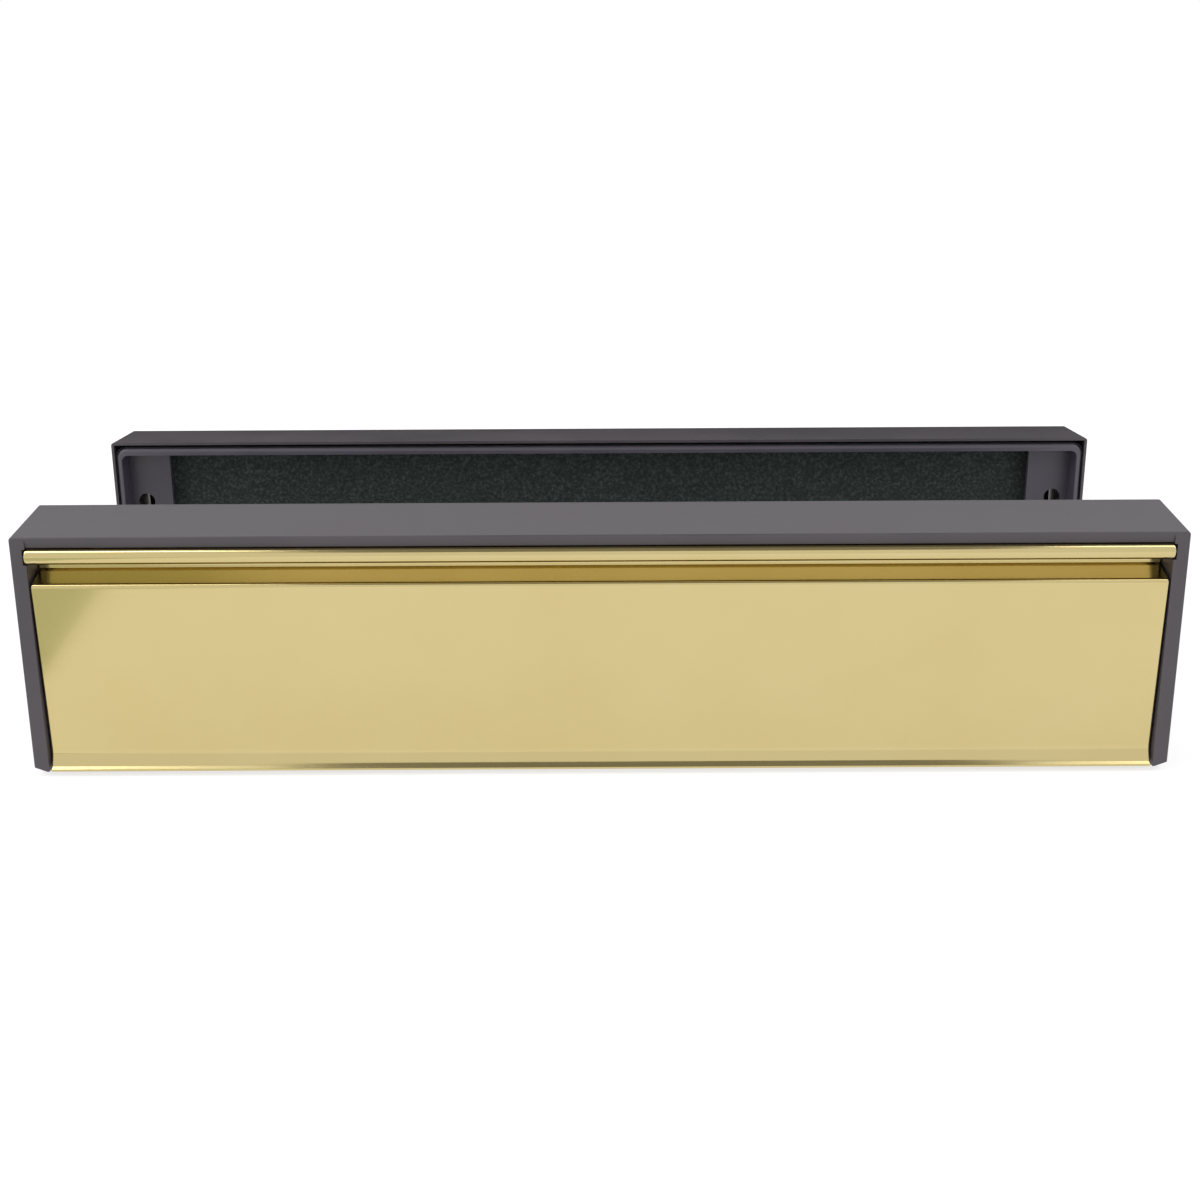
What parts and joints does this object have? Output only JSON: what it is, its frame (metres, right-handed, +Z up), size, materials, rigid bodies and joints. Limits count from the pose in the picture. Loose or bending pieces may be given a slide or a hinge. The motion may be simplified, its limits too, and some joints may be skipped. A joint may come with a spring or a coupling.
{
  "type": "through-door letterplate",
  "caption": "Letterplate for both faces of a door: a deep plastic surround each side with a full-width sprung gold flap on a round hinge bead, joined by sleeve bolts.",
  "frame": {"origin": "middle of the whole part's base: midway between the two units, where their door edges stand", "axes": "+X along the flaps, +Y through the door from the outer unit to the inner unit, +Z up towards the hinge beads"},
  "size_m": [0.306, 0.128, 0.069],
  "materials": {
    "surround_plastic": "fine matt moulded texture",
    "liner_plastic": "satin moulded",
    "gold_aluminium": "polished gold anodised",
    "foam": "open-cell foam with a flocked face",
    "steel": "drawn stainless",
    "zinc_steel": "bright zinc plated",
    "rubber": "matt"
  },
  "bodies": {
    "outer_unit": {"outer_surround": "surround_plastic", "outer_liner": "liner_plastic", "outer_hinge_rod": "steel", "outer_left_spring": "steel", "outer_right_spring": "steel", "outer_door_seal": "rubber", "outer_stop_buffers": "rubber", "outer_liner_screws": "zinc_steel", "sleeve_nuts": "zinc_steel"},
    "outer_flap": {"outer_flap": "gold_aluminium", "outer_foam_pad": "foam"},
    "inner_unit": {"inner_surround": "surround_plastic", "inner_liner": "liner_plastic", "inner_hinge_rod": "steel", "inner_left_spring": "steel", "inner_right_spring": "steel", "inner_door_seal": "rubber", "inner_stop_buffers": "rubber", "inner_liner_screws": "zinc_steel", "fixing_bolts": "zinc_steel"},
    "inner_flap": {"inner_flap": "gold_aluminium", "inner_foam_pad": "foam"}
  },
  "joints": [
    {"name": "outer_flap_hinge", "type": "hinge", "parent": "outer_unit", "child": "outer_flap", "pos_m": [0, -0.0619, 0.0618], "axis": [-1, 0, 0], "range_deg": [0, 110], "stiffness_Nm_per_rad": 0.03, "springref_deg": -28.65},
    {"name": "inner_unit_slide", "type": "slide", "parent": "outer_unit", "child": "inner_unit", "axis": [0, -1, 0], "range_m": [0, 0.0346]},
    {"name": "inner_flap_hinge", "type": "hinge", "parent": "inner_unit", "child": "inner_flap", "pos_m": [0, 0.0619, 0.0618], "axis": [1, 0, 0], "range_deg": [0, 110], "stiffness_Nm_per_rad": 0.03, "springref_deg": -28.65}
  ]
}
